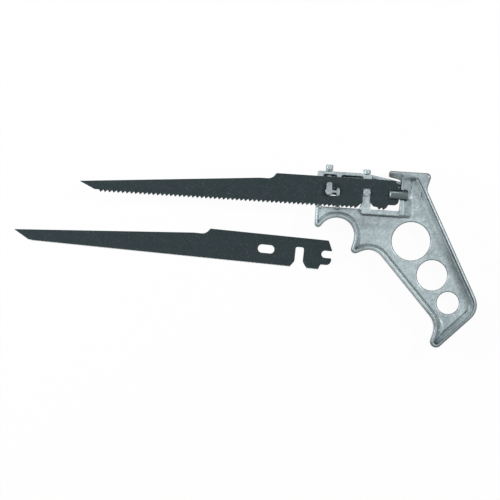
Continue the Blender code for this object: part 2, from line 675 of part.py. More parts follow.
def beak_scoop(name, side):
    """Cutter for the sloping face under the beak's top edge."""
    sunk = GRIP_HALF_DEPTH - SCOOP_SLOPE * (SCOOP_TOP - SCOOP_FOOT)
    outline = [Vector(p) for p in (
        (SCOOP_TOP, GRIP_HALF_DEPTH), (SCOOP_TOP, CUT_HALF), (SCOOP_FOOT, CUT_HALF), (SCOOP_FOOT, sunk))]
    start = BEAK_TIP_EDGE.x - SCOOP_END
    end = COLUMN_FRONT + SCOOP_END
    return add_cutter(name, across(prism(name, outline, start, end), side))


def bar_relief(name, side):
    """Cutter that brings the bar under the window down to the level of the lands."""
    low = (STUD_X - STUD_POST, BAR_UNDERSIDE - RELIEF_OVERRUN, side * BAR_HALF)
    high = (COLUMN_FRONT, SILL + RELIEF_OVERRUN, side * CUT_HALF)
    return add_cutter(name, box(name, low, high))


def hole_cutter(index, hole):
    """Cutter for a round hole through the web, chamfered on both faces."""
    depth = WEB_HALF * 2
    flare = hole.radius + HOLE_CHAMFER
    profile = [
        (0.0, depth), (flare + depth - WEB_HALF, depth), (hole.radius, WEB_HALF - HOLE_CHAMFER),
        (hole.radius, HOLE_CHAMFER - WEB_HALF), (flare + depth - WEB_HALF, -depth), (0.0, -depth)]
    mesh = turned(f"grip_hole_{index}", profile, HOLE_SIDES)
    mesh.transform(Matrix.Translation(Vector((hole.x, hole.y, 0.0)) * MM))
    return add_cutter(f"grip_hole_{index}", mesh)


def handle_casting(finish):
    """The grip and the head in one casting, bored for the studs and the latch."""
    part = add_part("handle_casting", grip_mesh(), finish)
    for name, side in (("near", 1), ("far", -1)):
        boolean(part, pocket(f"pocket_{name}", side), "DIFFERENCE")
        boolean(part, bar_relief(f"bar_relief_{name}", side), "DIFFERENCE")
        boolean(part, column_relief(f"column_relief_{name}", side), "DIFFERENCE")
        boolean(part, beak_scoop(f"beak_scoop_{name}", side), "DIFFERENCE")
    boolean(part, column_slope(), "DIFFERENCE")
    top_hook_x = TOP_SEAT_SHIFT
    rib_end = MIDDLE_POST_START + MIDDLE_POST / 2
    rib_half = SLOT_RIB_HEIGHT / 2
    rib_face = SEAT_HALF - 2 * STEP_BACK
    boss_face = SEAT_HALF - STEP_BACK
    for mesh in (
            head_comb(), head_web(), head_brace(),
            cylinder("hook_boss", (0, 0, 0), HOOK_BOSS_RADIUS, -boss_face, boss_face),
            box("slot_rib", (0, -rib_half, -rib_face), (rib_end, rib_half, rib_face)),
            cylinder("top_boss", (top_hook_x, 0, 0), HOOK_BOSS_RADIUS, RAIL_TOP - TOP_BOSS_DEPTH,
                     RAIL_TOP - RAIL_HEIGHT / 2, axis="Y")):
        boolean(part, add_cutter(mesh.name, mesh), "UNION")
    for index, hole in enumerate(GRIP_HOLES):
        boolean(part, hole_cutter(index, hole), "DIFFERENCE")
    bore = SHANK_RADIUS + CLEARANCE
    top_depth = TOP_SHANK_LENGTH + CLEARANCE
    pin_end = PIN_NOSE_X + PIN_LENGTH + PIN_TRAVEL + CHANNEL_OVERRUN
    far = -2 * COLUMN_HALF
    for mesh in (
            cylinder("hook_bore", (0, 0, 0), bore, -2 * SEAT_HALF, 2 * SEAT_HALF),
            cylinder("stud_bore", (STUD_X, STUD_Y, 0), bore, -2 * SEAT_HALF, 2 * SEAT_HALF),
            cylinder("top_hook_bore", (top_hook_x, 0, 0), bore, RAIL_TOP - top_depth, 2 * RAIL_TOP, axis="Y"),
            cylinder("top_stud_bore", (STUD_X + TOP_SEAT_SHIFT, 0, 0), bore, STUD_PAD_TOP - top_depth,
                     2 * RAIL_TOP, axis="Y"),
            cylinder("latch_channel", (0, LATCH_Y, LATCH_Z), PIN_RADIUS + CLEARANCE,
                     COLUMN_FRONT - CHANNEL_OVERRUN, pin_end, axis="X"),
            cylinder("ball_bore", (BALL_X, LATCH_Y, 0), BALL_BORE, far, LATCH_Z),
            cylinder("screw_bore", (BALL_X, LATCH_Y, 0), SCREW_RADIUS + CLEARANCE, far,
                     SCREW_TOP + CLEARANCE)):
        boolean(part, add_cutter(mesh.name, mesh), "DIFFERENCE")
    return part


def hook_mesh(name, shank_end, riveted):
    """A hook on +Z: neck from z = 0 through the blade, lip towards +Y, shank down to shank_end."""
    neck_top = BLADE_THICKNESS + 2 * CLEARANCE
    lip_top = neck_top + LIP_THICKNESS
    half = LIP_WIDTH / 2
    part = bpy.data.objects.new(name, turned(name, stud_profile(NECK_RADIUS, lip_top, shank_end, riveted)))
    CUTTERS.objects.link(part)
    lip = prism(f"{name}_lip", rounded([
        (-half, -LIP_ROUND, LIP_ROUND), (half, -LIP_ROUND, LIP_ROUND), (half, LIP_REACH, LIP_END_ROUND),
        (-half, LIP_REACH, LIP_END_ROUND)]), neck_top, lip_top - STEP_BACK)
    boolean(part, add_cutter(f"{name}_lip", lip), "UNION")
    evaluated = part.evaluated_get(bpy.context.evaluated_depsgraph_get())
    mesh = bpy.data.meshes.new_from_object(evaluated)
    bpy.data.objects.remove(part, do_unlink=True)
    return mesh


def stud_profile(radius, top, shank_end, riveted):
    """Turned profile of a stud that stands on z = 0, with a shank that may end in a rivet head."""
    profile = [
        (0.0, top), (radius - STUD_CHAMFER, top), (radius, top - STUD_CHAMFER), (radius, CLEARANCE),
        (SHANK_RADIUS, CLEARANCE), (SHANK_RADIUS, shank_end)]
    if riveted:
        head = RIVET_RADIUS
        crown = shank_end - RIVET_HEIGHT
        profile += [
            (head, shank_end), (head * RIVET_SHOULDER, shank_end - RIVET_HEIGHT * RIVET_SHOULDER_HEIGHT),
            (head * RIVET_CROWN, crown), (0.0, crown)]
    else:
        profile += [(0.0, shank_end)]
    return profile


def hooks_and_studs(finish):
    """The side and top hooks and the side and top studs."""
    through = -2 * SEAT_HALF - CLEARANCE
    proud = BLADE_THICKNESS + CLEARANCE + STUD_PROUD
    on_top = Matrix.Rotation(-math.pi / 2, 4, "X") @ Matrix.Rotation(math.pi, 4, "Z")
    side_hook = add_part("side_hook", hook_mesh("side_hook", through, True), finish)
    side_hook.location = Vector((0, 0, SEAT_HALF)) * MM
    profile = stud_profile(STUD_RADIUS, proud, through, True)
    side_stud = add_part("side_stud", turned("side_stud", profile), finish)
    side_stud.location = Vector((STUD_X, STUD_Y, SEAT_HALF)) * MM
    top_hook = add_part("top_hook", hook_mesh("top_hook", -TOP_SHANK_LENGTH, False), finish)
    top_hook.matrix_local = Matrix.Translation(Vector((TOP_SEAT_SHIFT, RAIL_TOP, 0)) * MM) @ on_top
    profile = stud_profile(STUD_RADIUS, TOP_STUD_HEIGHT, -TOP_SHANK_LENGTH, False)
    top_stud = add_part("top_stud", turned("top_stud", profile), finish)
    place = Vector((STUD_X + TOP_SEAT_SHIFT, STUD_PAD_TOP, 0)) * MM
    top_stud.matrix_local = Matrix.Translation(place) @ on_top
    return [side_hook, side_stud, top_hook, top_stud]


def latch_pin(finish):
    """Sliding pin: a groove round its nose takes the fork, and a keyway under it rides on the ball."""
    profile = [
        (0.0, PIN_LENGTH), (PIN_RADIUS - PIN_CHAMFER, PIN_LENGTH), (PIN_RADIUS, PIN_LENGTH - PIN_CHAMFER),
        (PIN_RADIUS, PIN_CHAMFER), (PIN_RADIUS - PIN_CHAMFER, 0.0), (0.0, 0.0)]
    mesh = turned("latch_pin", profile)
    mesh.transform(Matrix.Rotation(math.pi / 2, 4, "Y"))
    part = add_part("latch_pin", mesh, finish)
    part.location = Vector((PIN_NOSE_X, LATCH_Y, LATCH_Z)) * MM
    groove = BLADE_THICKNESS / 2 + CLEARANCE
    core = FORK_WIDTH / 2 - CLEARANCE
    depth = FORK_DEPTH + CLEARANCE
    outside = 2 * PIN_RADIUS
    fork_groove = add_cutter("fork_groove", prism("fork_groove", rounded([
        (-PIN_CHAMFER, -outside, 0.0), (depth, -outside, 0.0), (depth, -core, 0.0), (0.0, -core, core),
        (0.0, core, core), (depth, core, 0.0), (depth, outside, 0.0), (-PIN_CHAMFER, outside, 0.0)]),
        -groove, groove))
    fork_groove.parent = part
    boolean(part, fork_groove, "DIFFERENCE")
    ball_at = BALL_X - PIN_NOSE_X
    key = BALL_BORE
    keyway = add_cutter("keyway", box(
        "keyway", (ball_at - PIN_TRAVEL - key, -key, -2 * PIN_RADIUS),
        (ball_at + key, key, BALL_LIFT + CLEARANCE - PIN_RADIUS)))
    keyway.parent = part
    boolean(part, keyway, "DIFFERENCE")
    return part


def latch_ball(finish):
    """Ball that holds the pin at either end of its travel."""
    def build(shape):
        bmesh.ops.create_uvsphere(shape, u_segments=BALL_SIDES, v_segments=BALL_RINGS, radius=BALL_RADIUS)
    part = add_part("latch_ball", mesh_from("latch_ball", build), finish)
    part.location = Vector((BALL_X, LATCH_Y, BALL_Z)) * MM
    return part


def latch_spring(finish):
    """Coil under the ball, one unbroken wire."""
    radius = BALL_BORE - CLEARANCE - SPRING_WIRE
    climb = SPRING_LENGTH - 2 * SPRING_WIRE
    count = int(SPRING_TURNS * SPRING_POINTS)
    places = []
    for index in range(count + 1):
        angle = math.tau * index / SPRING_POINTS
        rise = SPRING_WIRE + climb * index / count
        places.append(Vector((radius * math.cos(angle), radius * math.sin(angle), rise)))
    nearest = min((a - b).length for i, a in enumerate(places) for b in places[i + SPRING_POINTS // 2:])
    print(f"latch_spring: least gap between curls {nearest - 2 * SPRING_WIRE:.2f} mm")
    curve = bpy.data.curves.new("latch_spring", "CURVE")
    curve.dimensions = "3D"
    curve.bevel_depth = SPRING_WIRE * MM
    curve.bevel_resolution = 1
    curve.use_fill_caps = True
    spline = curve.splines.new("POLY")
    spline.points.add(len(places) - 1)
    for point, place in zip(spline.points, places):
        point.co = (*(place * MM), 1.0)
    part = bpy.data.objects.new("latch_spring", curve)
    curve.materials.append(finish)
    PARTS.objects.link(part)
    weld = part.modifiers.new("weld", "WELD")
    weld.merge_threshold = WELD * MM
    part.location = Vector((BALL_X, LATCH_Y, SPRING_TOP - SPRING_LENGTH)) * MM
    return part


def latch_screw(finish):
    """Slotted screw that closes the spring's bore on the far side."""
    bottom = SCREW_RECESS - COLUMN_HALF
    mesh = cylinder("latch_screw", (0, 0, 0), SCREW_RADIUS, bottom, SCREW_TOP)
    part = add_part("latch_screw", mesh, finish)
    part.location = Vector((BALL_X, LATCH_Y, 0)) * MM
    half = SCREW_SLOT_WIDTH / 2
    reach = 2 * SCREW_RADIUS
    slot = add_cutter("screw_slot", box(
        "screw_slot", (-reach, -half, 2 * bottom), (reach, half, bottom + SCREW_SLOT_DEPTH)))
    slot.parent = part
    boolean(part, slot, "DIFFERENCE")
    return part


def blades(coarse_finish, fine_finish):
    """The coarse blade on the side seat and the fine one lying beside the saw."""
    wood = add_part("wood_blade", blade_mesh("wood_blade", COARSE_PITCH, COARSE_DEPTH, 0.0), coarse_finish)
    wood.location = Vector((TAIL_X, BLADE_Y, BLADE_BACK_FACE)) * MM
    metal = add_part("metal_blade", blade_mesh("metal_blade", FINE_PITCH, FINE_DEPTH, 0.0), fine_finish)
    turn = Matrix.Rotation(math.radians(SPARE_TURN), 4, "Z")
    slot = Matrix.Translation(Vector((SPARE_SLOT_X, SPARE_SLOT_Y, -GRIP_HALF_DEPTH)) * MM)
    metal.matrix_local = slot @ turn @ Matrix.Translation(Vector((SLOT_FROM_TAIL, 0, 0)) * MM)
    return [wood, metal]


def stand_on_floor(parts):
    """Hang every piece on one empty and move it so that the box's bottom centre is the origin."""
    base = bpy.data.objects.new("saw_frame", None)
    PARTS.objects.link(base)
    for item in [*parts, *CUTTERS.objects]:
        if item.parent is None:
            item.parent = base
    bpy.context.view_layer.update()
    graph = bpy.context.evaluated_depsgraph_get()
    low = Vector((math.inf,) * 3)
    high = Vector((-math.inf,) * 3)
    for part in parts:
        evaluated = part.evaluated_get(graph)
        for vertex in evaluated.to_mesh().vertices:
            place = evaluated.matrix_world @ vertex.co
            low = Vector(map(min, low, place))
            high = Vector(map(max, high, place))
    base.location = (-(low.x + high.x) / 2, -(low.y + high.y) / 2, -low.z)


def main():
    """Build every piece of the saw."""
    cast = material("cast_aluminium", (0.62, 0.66, 0.69), 0.42, 0.9)
    hardware = material("stud_metal", (0.66, 0.69, 0.71), 0.38, 0.9)
    coarse = material("coarse_blade_steel", (0.075, 0.095, 0.1), 0.5, 0.6)
    fine = material("fine_blade_steel", (0.07, 0.088, 0.094), 0.5, 0.6)
    pin_steel = material("pin_steel", (0.3, 0.34, 0.35), 0.32, 0.95)
    bright = material("bright_steel", (0.6, 0.6, 0.6), 0.25, 1.0)
    spring_steel = material("spring_steel", (0.4, 0.4, 0.4), 0.3, 1.0)
    screw_steel = material("screw_steel", (0.35, 0.36, 0.37), 0.35, 1.0)
    parts = [handle_casting(cast), *hooks_and_studs(hardware), latch_pin(pin_steel), latch_ball(bright),
             latch_spring(spring_steel), latch_screw(screw_steel), *blades(coarse, fine)]
    for part in parts:
        if part.type == "MESH":
            smooth(part)
    stand_on_floor(parts)


main()
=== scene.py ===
"""Looks of a pistol-grip keyhole saw: cast handle, hooked blade, sliding latch and spare blade."""
import math

import bmesh
import bpy
import numpy as np
from bpy.props import FloatProperty, FloatVectorProperty, PointerProperty
from mathutils import Matrix, Vector


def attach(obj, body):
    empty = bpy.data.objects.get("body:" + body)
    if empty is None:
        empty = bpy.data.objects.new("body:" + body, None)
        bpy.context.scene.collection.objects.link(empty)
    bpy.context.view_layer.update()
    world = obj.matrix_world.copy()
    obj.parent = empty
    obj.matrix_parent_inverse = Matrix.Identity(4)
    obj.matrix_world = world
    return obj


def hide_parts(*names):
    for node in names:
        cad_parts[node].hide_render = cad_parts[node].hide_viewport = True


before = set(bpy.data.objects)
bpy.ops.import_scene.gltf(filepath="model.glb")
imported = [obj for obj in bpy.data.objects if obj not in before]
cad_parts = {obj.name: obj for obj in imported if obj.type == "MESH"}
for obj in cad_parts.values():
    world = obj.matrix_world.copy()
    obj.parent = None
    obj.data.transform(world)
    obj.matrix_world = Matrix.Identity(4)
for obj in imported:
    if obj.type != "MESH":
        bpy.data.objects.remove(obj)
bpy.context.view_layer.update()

bl_info = {
    "name": "Keyhole saw looks",
    "version": (1, 0, 0),
    "blender": (4, 5, 0),
    "location": "3D View > Sidebar > Keyhole saw",
    "description": "Finishes the pieces of a keyhole saw and lays them out for a picture",
    "category": "Object",
}

MM = 0.001
MERGE = 0.002 * MM
MIDDLE_PLANE = 11.0 * MM

# Bodies that the pieces ride on
BODY_SAW = "saw"
BODY_LATCH = "latch"
BODY_SPARE = "spare"

# Smooth skin of the castings: rounds of evening out, and the share of faces that thinning keeps
HANDLE_PASSES = 14
HANDLE_KEEP = 0.27
HOOK_PASSES = 4
HOOK_KEEP = 0.3
EVENING = 0.5

# Wide fillet at the column's top: a third of the reach is evened out in full
COLUMN_TOP = (124.8 * MM, 60.5 * MM, 18.5 * MM)
COLUMN_TOP_REACH = 8.0 * MM
COLUMN_TOP_PASSES = 150
FULL_MELT = 1.5

# Notes of hollows on a casting: name, rounds of evening out, depth that counts in full
RELIEF = (("crease", 12, 0.12 * MM), ("cove", 120, 0.8 * MM))

# Angles on the machined pieces, in degrees: joined as flat, rounded, and shaded as crisp
FLAT_JOINT = 1.0
SHARP_EDGE = 32.0
LATCH_SHADING = 40.0
BLADE_SHADING = 4.0

# Rounding of the latch, and how far a face turns along the pin to count as its end
EDGE_SEGMENTS = 2
END_SEGMENTS = 4
END_FACE = 0.3

# Teeth: turn of the spare blade, and how near the points' line a corner is a point
SPARE_TURN = math.radians(-2.1)
TOOTH_POINT = 0.1 * MM

# Directions on the handle: towards the butt, and from the front strap to the back strap
DOWN = (0.0, -1.0, 0.0)
ACROSS_GRIP = (0.742, 0.671, 0.0)

# Places on the handle where its tone changes, each from none to full
NOSE = (55.0 * MM, 31.5 * MM, 15.0 * MM)
NOSE_REACH = 17.0 * MM
LOW_DOWN = (-22.0 * MM, -2.0 * MM)
TOWARD_BUTT_DOWN = (12.5 * MM, 75.0 * MM)
ABOVE_BUTT_DOWN = (52.0 * MM, 36.0 * MM)
UNDER_SILL_DOWN = (-19.0 * MM, -24.0 * MM)
GRIP_ACROSS = (74.0 * MM, 80.0 * MM)
FRONT_ACROSS = (108.0 * MM, 84.0 * MM)
BACK_ACROSS = (105.0 * MM, 117.0 * MM)
SILL_ACROSS = (112.0 * MM, 102.0 * MM)

# Notes of the casting's form that count as one of its features, each from none to full
OUTER_COVE = (-0.3, -0.8)
INNER_COVE = (-0.3, -0.05)
CREASE_DEPTH = (0.35, 0.75)
EDGE_STEEP = (0.04, 0.28)
WALL_STEEP = (0.25, 0.55)
HOLLOW_STEEP = (0.0, 0.3)
HOLLOW_COVE = 2.0
RIM_HEIGHT = (0.55, 0.95)
WEB_TOP = (0.20, 1.0)
WEB_END = (0.28, 0.0)

# Layers of the cast skin and how much each lightens it, and the painted light at three places
PATCH_SIZE = 12.0 * MM
MOTTLE_SIZE = 4.2 * MM
PATCH_SPREAD = (0.30, 0.72)
GRAIN_SPREAD = (0.36, 0.64)
BASE_LIGHT = 0.16
PATCH_LIGHT = 0.26
MOTTLE_LIGHT = 0.16
GRAIN_LIGHT = 0.26
NOSE_PAINTED_LIGHT = 0.4
FRONT_PAINTED_LIGHT = 0.20
COVE_PAINTED_LIGHT = 0.24

# How much painted shade the casting's features and places get, and how far the nose and front rims
# lose it
CREASE_PAINTED_SHADE = 0.75
EDGE_PAINTED_SHADE = 0.62
RIM_PAINTED_SHADE = 0.26
WALL_PAINTED_SHADE = 0.5
BUTT_PAINTED_SHADE = 0.14
COVE_PAINTED_SHADE = 0.36
SILL_PAINTED_SHADE = 0.13
NOSE_SHADE_LIFT = 0.9
FRONT_SHADE_LIFT = 0.6

# Marks on the blades: rolling lines, stains and specks
LINE_SIZE = 1.6 * MM
LINE_STRETCH = (0.03, 1.0, 1.0)
STAIN_SIZE = 9.0 * MM
STAIN_SPREAD = (0.35, 0.7)
SPECK_SIZE = 1.3 * MM
SPECK_SPREAD = (0.56, 0.76)
LINE_WEAR = 0.10
SPECK_WEAR = 0.55

# Marks on the turned steel: rings of the tool along X or Z, and tarnish
RING_SIZE = 0.35 * MM
RINGS_ALONG_X = (1.0, 0.05, 0.05)
RINGS_ALONG_Z = (0.3, 0.3, 1.0)
TARNISH_SIZE = 2.5 * MM
TARNISH_SPREAD = (0.3, 0.75)
RING_LIGHT = 0.5
TARNISH_LIGHT = 0.4
RUBBED_GAIN = 1.35

# Stage
FLOOR_SIZE = 6.0
FLOOR_DROP = 0.2 * MM
FLOOR_WHITE = 0.96
WHITE = (1.0, 1.0, 1.0)
SENSOR = 36.0
AIM = (2.8 * MM, -2.0 * MM)

# Lamps: name, place, size, setting that holds the power
LAMPS = (
    ("overhead_light", (0.20, 0.30, 1.30), 1.6, "key_power"),
    ("side_light", (0.80, 0.45, 0.90), 0.25, "side_power"),
    ("back_light", (0.0, 1.05, 0.60), 0.25, "back_power"),
    ("left_light", (-0.90, 0.15, 0.55), 0.30, "left_power"),
)


def colour_property(name, description, default):
    """A colour that a user may change."""
    return FloatVectorProperty(name=name, description=description, default=default,
                               subtype="COLOR", min=0.0, max=1.0)


def length_property(name, description, default):
    """A length that a user may change."""
    return FloatProperty(name=name, description=description, default=default,
                         unit="LENGTH", min=0.0)


def power_property(name, description, default):
    """A lamp's power that a user may change."""
    return FloatProperty(name=name, description=description, default=default, unit="POWER")


class KEYHOLE_casting_look(bpy.types.PropertyGroup):
    """Sizes and colours of the cast handle and its hooks."""
    bright: colour_property("Bright metal", "Clean cast face", (0.63, 0.735, 0.765))
    dull: colour_property("Dull metal", "Dull patches of the cast skin", (0.145, 0.183, 0.197))
    # Colour of the painted shade in creases, on edges, walls and rim tops, in hollows and towards
    # the butt
    painted_shade: colour_property("Painted shade", "Dark painted shade in the creases", (0.045, 0.060, 0.065))
    voxel: length_property("Skin step", "Step of the casting's smooth skin", 0.36 * MM)
    hook_voxel: length_property("Hook skin step", "Step of the hooks' smooth skin", 0.14 * MM)
    grain: length_property("Grain", "Size of the cast skin's grain", 1.4 * MM)


class KEYHOLE_blade_look(bpy.types.PropertyGroup):
    """Sizes and colours of the two blades."""
    steel: colour_property("Blued steel", "Main colour of the blades", (0.021, 0.037, 0.0395))
    stain: colour_property("Stain", "Faint purple stains of the blueing", (0.031, 0.041, 0.048))
    worn: colour_property("Worn steel", "Rubbed specks", (0.105, 0.126, 0.134))
    coarse_root: length_property("Coarse tooth height", "Height of the coarse teeth", 1.9 * MM)
    fine_root: length_property("Fine tooth height", "Height of the fine teeth", 0.7 * MM)
    coarse_set: length_property("Coarse tooth set", "How far coarse teeth lean out", 0.22 * MM)
    fine_set: length_property("Fine tooth set", "How far fine teeth lean out", 0.12 * MM)


class KEYHOLE_latch_look(bpy.types.PropertyGroup):
    """Sizes and colours of the latch."""
    steel: colour_property("Pin steel", "Turned steel of the pin", (0.086, 0.110, 0.115))
    bright: colour_property("Bright steel", "Ball, spring and screw", (0.52, 0.53, 0.54))
    edge: length_property("Edge softening", "Rounding of the pin's and screw's edges", 0.18 * MM)
    end: length_property("End rounding", "Rounding of the pin's two ends", 0.8 * MM)


class KEYHOLE_stage_look(bpy.types.PropertyGroup):
    """Camera, floor and lights."""
    roll: FloatProperty(name="Roll", description="Turn of the picture about the view",
                        default=math.radians(3.7), subtype="ANGLE")
    width: length_property("Picture width", "Width of the picture at the saw", 398.5 * MM)
    distance: length_property("Camera distance", "Camera above the floor", 4.5)
    floor: colour_property("Floor", "Colour of the floor", (0.93, 0.93, 0.93))
    key_power: power_property("Key light", "Power of the overhead light", 1.2)
    side_power: power_property("Side light", "Power of the side light", 6.5)
    back_power: power_property("Back light", "Power of the back light", 2.0)
    left_power: power_property("Left light", "Power of the left light", 7.0)
    sky: FloatProperty(name="Surroundings", description="Strength of the surroundings",
                       default=0.23)


class Socket:
    """A shader socket: arithmetic on it adds Math nodes."""

    def __init__(self, finish, socket):
        self.finish = finish
        self.socket = socket

    def math(self, operation, first, second):
        """The result of one Math node."""
        settings = {"operation": operation}
        return self.finish.node("ShaderNodeMath", settings, {0: first, 1: second})["Value"]

    def __add__(self, other):
        return self.math("ADD", self, other)

    __radd__ = __add__

    def __sub__(self, other):
        return self.math("SUBTRACT", self, other)

    def __rsub__(self, other):
        return self.math("SUBTRACT", other, self)

    def __mul__(self, other):
        return self.math("MULTIPLY", self, other)

    __rmul__ = __mul__

    def limited(self):
        """The value held between 0 and 1."""
        return self.finish.node("ShaderNodeClamp", {}, {"Value": self})["Result"]


class Finish:
    """The nodes of a material or of the world."""

    def __init__(self, tree):
        self.tree = tree
        tree.nodes.clear()

    def node(self, kind, settings=None, inputs=None):
        """A node with its settings made first, then its sockets filled or linked.

        Gives the node's outputs by name.
        """
        made = self.tree.nodes.new(kind)
        for key, value in (settings or {}).items():
            if key == "stops":
                for stop, (place, shade) in zip(made.color_ramp.elements, value):
                    stop.position = place
                    stop.color = (shade, shade, shade, 1.0)
            else:
                setattr(made, key, value)
        for key, value in (inputs or {}).items():
            if isinstance(value, Socket):
                self.tree.links.new(value.socket, made.inputs[key])
            elif isinstance(value, tuple) and len(made.inputs[key].default_value) > len(value):
                made.inputs[key].default_value = (*value, 1.0)
            else:
                made.inputs[key].default_value = value
        return {output.name: Socket(self, output) for output in made.outputs if output.enabled}

    def place(self):
        """Where a point lies, in metres."""
        return self.node("ShaderNodeTexCoord")["Object"]

    def noise(self, size, detail, stretch=(1.0, 1.0, 1.0), turn=0.0):
        """Cloudy values from 0 to 1, in patches of about one size, turned about Z if asked."""
        settings = {"vector_type": "POINT"}
        turned = {"Vector": self.place(), "Rotation": (0.0, 0.0, -turn)}
        place = self.node("ShaderNodeMapping", settings, turned)["Vector"]
        stretched = {"Vector": place, "Scale": stretch}
        place = self.node("ShaderNodeMapping", settings, stretched)["Vector"]
        inputs = {"Vector": place, "Scale": 1.0 / size, "Detail": detail, "Roughness": 0.55}
        return self.node("ShaderNodeTexNoise", {}, inputs)["Fac"]

    def along(self, direction):
        """How far a point lies along a direction, in metres from the saw's middle."""
        settings = {"operation": "DOT_PRODUCT"}
        return self.node("ShaderNodeVectorMath", settings, {0: self.place(), 1: direction})["Value"]

    def near(self, centre, reach):
        """1 at one place on a piece, falling to 0 at a reach from it."""
        settings = {"operation": "DISTANCE"}
        away = self.node("ShaderNodeVectorMath", settings, {0: self.place(), 1: centre})["Value"]
        return self.fade(away, reach, 0.0)

    def fade(self, value, start, end):
        """0 where a value is at its start and 1 where it is at its end or past it."""
        return ((value - start) * (1.0 / (end - start))).limited()

    def ramp(self, value, start, end):
        """A value passed through a ramp between two stops of place and shade."""
        return self.node("ShaderNodeValToRGB", {"stops": (start, end)}, {"Fac": value})["Color"]

    def rise(self, value, start, end):
        """0 up to one place of a ramp and 1 from another."""
        return self.ramp(value, (start, 0.0), (end, 1.0))

    def blend(self, share, first, second):
        """A colour between two colours."""
        inputs = {0: share, 6: first, 7: second}
        return self.node("ShaderNodeMix", {"data_type": "RGBA"}, inputs)["Result"]

    def noted(self, name):
        """A value that the piece's mesh holds for each of its points."""
        return self.node("ShaderNodeAttribute", {"attribute_name": name})["Fac"]

    def bump(self, height, depth, strength):
        """A normal that follows a height from 0 to 1."""
        inputs = {"Height": height, "Distance": depth, "Strength": strength}
        return self.node("ShaderNodeBump", {}, inputs)["Normal"]

    def surface(self, inputs):
        """The shader that the material ends in."""
        shader = self.node("ShaderNodeBsdfPrincipled", {}, inputs)["BSDF"]
        self.node("ShaderNodeOutputMaterial", {}, {"Surface": shader})


def new_finish(name):
    """A new material and its nodes."""
    made = bpy.data.materials.new(name)
    made.use_nodes = True
    return made, Finish(made.node_tree)


def cast_metal(name, look):
    """Bare die-cast metal: grainy skin with light and dull patches, painted shade in creases and on
    edges, and painted light in places.
    """
    made, finish = new_finish(name)
    patches = finish.rise(finish.noise(PATCH_SIZE, detail=4.0), *PATCH_SPREAD)
    mottle = finish.rise(finish.noise(MOTTLE_SIZE, detail=5.0), *GRAIN_SPREAD)
    grain = finish.rise(finish.noise(look.grain, detail=5.0), *GRAIN_SPREAD)
    light, painted_shade = cast_tone(finish)
    light = light + BASE_LIGHT
    light = light + patches * PATCH_LIGHT + mottle * MOTTLE_LIGHT + grain * GRAIN_LIGHT
    skin = finish.blend(light.limited(), tuple(look.dull), tuple(look.bright))
    finish.surface({
        # The skin is darkened towards the painted-shade colour where painted shade falls
        "Base Color": finish.blend(painted_shade.limited(), skin, tuple(look.painted_shade)),
        "Metallic": 0.35,
        "Roughness": 0.26 + 0.14 * mottle + 0.08 * grain,
        "Normal": finish.bump(grain * 0.5 + mottle * 0.5, depth=0.06 * MM, strength=0.6),
    })
    return made


def cast_tone(finish):
    """Painted light and painted shade on a casting, by its form and by the place on the handle."""
    steep = finish.noted("steep")
    height = finish.noted("height")
    cove = finish.noted("cove")
    down = finish.along(DOWN)
    across = finish.along(ACROSS_GRIP)

    inner = finish.fade(cove, *INNER_COVE)
    crease = finish.rise(finish.noted("crease"), *CREASE_DEPTH)
    edge = finish.rise(steep, *EDGE_STEEP) * finish.fade(cove, *OUTER_COVE)
    wall = finish.rise(steep, *WALL_STEEP) * inner
    hollow = (cove * HOLLOW_COVE + finish.rise(steep, *HOLLOW_STEEP)).limited() * inner
    rim = finish.rise(height, *RIM_HEIGHT)
    web = finish.ramp(height, WEB_TOP, WEB_END)

    low = finish.fade(down, *LOW_DOWN)
    grip = finish.fade(across, *GRIP_ACROSS)
    front = finish.fade(across, *FRONT_ACROSS) * finish.fade(down, *ABOVE_BUTT_DOWN) * grip * low
    under_sill = finish.fade(across, *SILL_ACROSS) * finish.fade(down, *UNDER_SILL_DOWN) * grip
    back_hollow = hollow * finish.fade(across, *BACK_ACROSS)
    # Painted shade that grows towards the butt
    toward_butt = finish.fade(down, *TOWARD_BUTT_DOWN)
    nose = finish.near(NOSE, NOSE_REACH)

    # Painted light: lighter at the nose, by the front strap and in the upper cove of the back strap
    light = nose * NOSE_PAINTED_LIGHT + front * FRONT_PAINTED_LIGHT + back_hollow * (1.0 - low) * COVE_PAINTED_LIGHT
    # Painted shade in creases, on steep outer edges, walls and rim tops, in the lower back cove, at
    # the butt and under the sill
    painted_shade = crease * CREASE_PAINTED_SHADE + edge * EDGE_PAINTED_SHADE + wall * front * WALL_PAINTED_SHADE
    painted_shade = painted_shade + rim * (1.0 - front * FRONT_SHADE_LIFT) * RIM_PAINTED_SHADE
    painted_shade = painted_shade * (1.0 - nose * NOSE_SHADE_LIFT) + toward_butt * BUTT_PAINTED_SHADE
    painted_shade = painted_shade + back_hollow * low * COVE_PAINTED_SHADE + web * under_sill * SILL_PAINTED_SHADE
    return light, painted_shade


def blued_steel(name, look, turn):
    """Dull blued sheet steel with faint rolling lines along the blade, stains and rubbed specks."""
    made, finish = new_finish(name)
    lines = finish.noise(LINE_SIZE, detail=2.0, stretch=LINE_STRETCH, turn=turn)
    stains = finish.rise(finish.noise(STAIN_SIZE, detail=4.0), *STAIN_SPREAD)
    specks = finish.rise(finish.noise(SPECK_SIZE, detail=3.0), *SPECK_SPREAD)
    skin = finish.blend(stains, tuple(look.steel), tuple(look.stain))
    wear = lines * LINE_WEAR + specks * SPECK_WEAR
    finish.surface({
        "Base Color": finish.blend(wear, skin, tuple(look.worn)),
        "Roughness": 0.55 + 0.12 * stains + 0.06 * lines,
        "Specular IOR Level": 0.10,
        "Normal": finish.bump(specks, depth=0.012 * MM, strength=0.4),
    })
    return made


